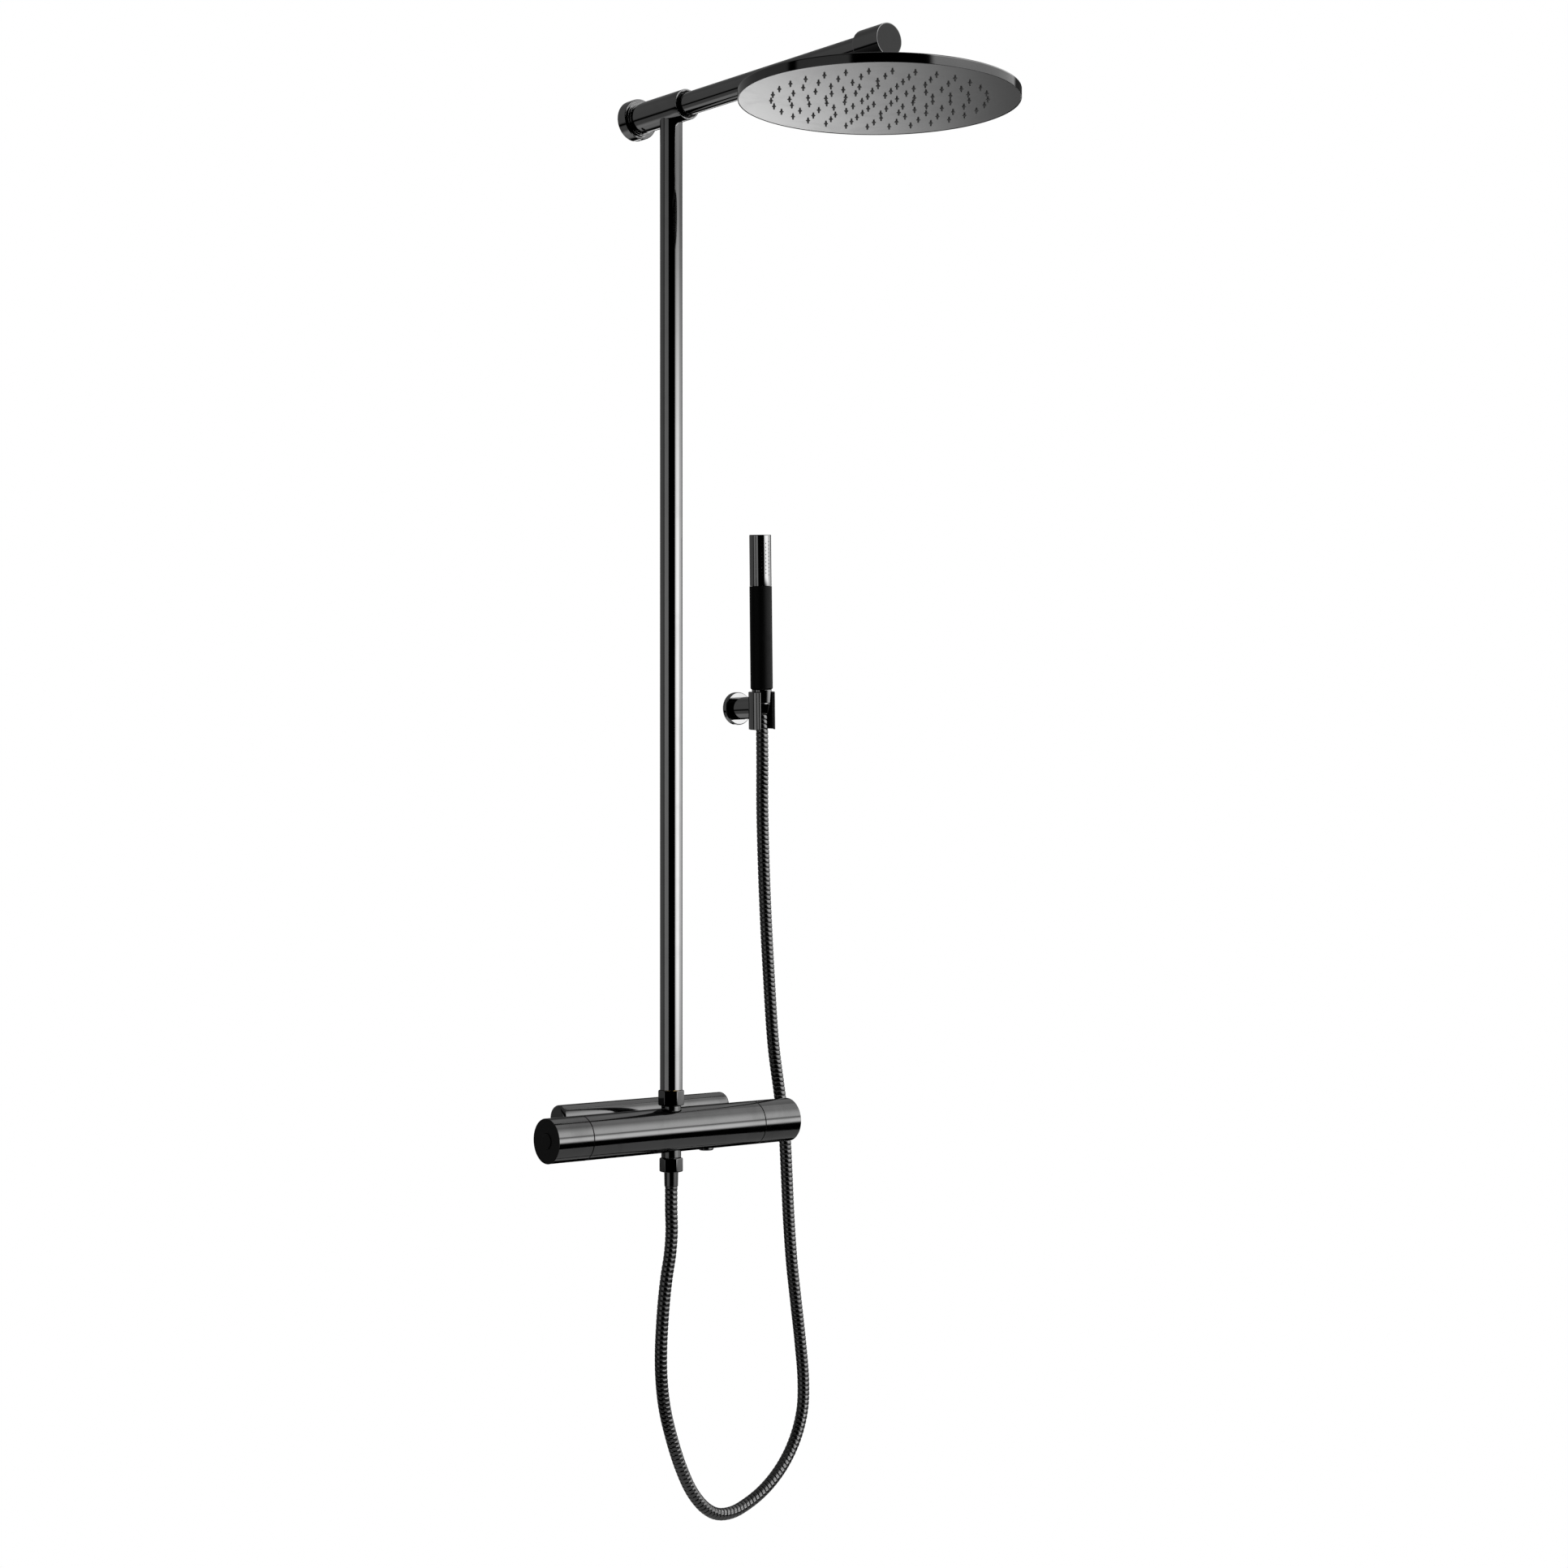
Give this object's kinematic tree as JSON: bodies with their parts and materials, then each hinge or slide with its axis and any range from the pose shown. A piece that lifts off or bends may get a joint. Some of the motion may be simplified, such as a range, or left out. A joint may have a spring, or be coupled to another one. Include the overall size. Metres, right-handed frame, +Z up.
{
  "type": "rainfall shower column",
  "caption": "Wall-mounted thermostatic bar mixer with riser pipe, swivelling round rain head on an arm, and a stick handset in a wall clip on a metal hose.",
  "frame": {"origin": "centre of the wall plate's back face, on the wall, straight behind the mixer's axis under the riser pipe", "axes": "+Z up along the riser, +Y into the wall, +X along the mixer towards the flow handle; the room is on the -Y side"},
  "size_m": [0.4177, 0.5854, 1.6757],
  "materials": {
    "black_chrome": "black chrome, polished",
    "hose_metal": "black chrome spiral-wound metal",
    "satin_black": "satin",
    "satin_face": "satin grey",
    "rubber": "matte",
    "silicone": "soft matte",
    "brass": "machined",
    "steel": "plain",
    "black_plastic": "moulded",
    "white_plastic": "moulded"
  },
  "bodies": {
    "column": {"wall_plate": "steel", "wall_cover": "black_chrome", "plate_screw_1": "steel", "plate_screw_2": "steel", "inlet_union_left": "brass", "inlet_union_right": "brass", "check_valve_left": "white_plastic", "check_valve_right": "white_plastic", "union_nut_left": "black_chrome", "union_nut_right": "black_chrome", "mixer_body": "black_chrome", "strainer_plug": "black_chrome", "thermostat_cartridge": "brass", "diverter_cartridge": "brass", "riser_nut": "black_chrome", "riser_seal": "rubber", "riser_tail": "brass", "riser_pipe": "black_chrome", "tee_body": "black_chrome", "tee_grub_screw": "steel", "tee_seal": "rubber", "wall_flange": "black_chrome", "wall_anchor": "brass", "arm_pipe": "black_chrome", "arm_end_fitting": "black_chrome", "holder_rosette": "black_chrome", "holder_stud": "brass", "handset_holder": "black_chrome", "holder_grub_screw": "steel", "clip_liner": "black_plastic", "hose_nut": "black_chrome", "hose_washer": "rubber", "hose_ferrule": "black_chrome", "hose": "hose_metal"},
    "temperature_knob": {"temperature_handle": "black_chrome", "temperature_handle_screw": "steel", "temperature_end_cap": "satin_black", "thermostat_spindle": "brass", "button_spring": "steel"},
    "button": {"safety_button": "satin_black"},
    "flow_knob": {"flow_handle": "black_chrome", "flow_handle_screw": "steel", "flow_end_cap": "satin_black", "diverter_spindle": "brass"},
    "head_stud": {"ball_stud": "black_chrome"},
    "rain_head": {"ball_socket_nut": "black_chrome", "ball_seal": "rubber", "head_body": "black_chrome", "head_faceplate": "satin_face", "nozzle_mat": "silicone"},
    "hose_end": {"hose_cone_nut": "black_chrome", "handset_ferrule": "brass", "handset_washer": "rubber"},
    "handset": {"handset_tube": "black_chrome", "flow_restrictor": "white_plastic", "grip_sleeve": "rubber", "spray_sleeve": "black_chrome", "jet_insert": "silicone"}
  },
  "joints": [
    {"name": "temperature_turn", "type": "hinge", "parent": "column", "child": "temperature_knob", "pos_m": [-0.15, -0.073, 0], "axis": [-1, 0, 0], "range_deg": [-60, 150]},
    {"name": "button_press", "type": "slide", "parent": "temperature_knob", "child": "button", "axis": [1, 0, 0], "range_m": [0, 0.0025], "stiffness_N_per_m": 600, "springref_m": -0.002, "deforming": ["button_spring"]},
    {"name": "flow_turn", "type": "hinge", "parent": "column", "child": "flow_knob", "pos_m": [0.15, -0.073, 0], "axis": [1, 0, 0], "range_deg": [-90, 90]},
    {"name": "head_swivel", "type": "hinge", "parent": "column", "child": "head_stud", "pos_m": [0, -0.4354, 1.144], "axis": [0, 0, 1], "continuous": true},
    {"name": "head_tilt", "type": "hinge", "parent": "head_stud", "child": "rain_head", "pos_m": [0, -0.4354, 1.144], "axis": [1, 0, 0], "range_deg": [-12, 12]},
    {"name": "handset_lift", "type": "slide", "parent": "column", "child": "hose_end", "axis": [-0.0696, -0.0696, 0.9951], "range_m": [0, 0.08]},
    {"name": "handset_turn", "type": "hinge", "parent": "hose_end", "child": "handset", "pos_m": [0.1538, -0.0505, 0.4895], "axis": [-0.0696, -0.0696, 0.9951], "continuous": true}
  ]
}
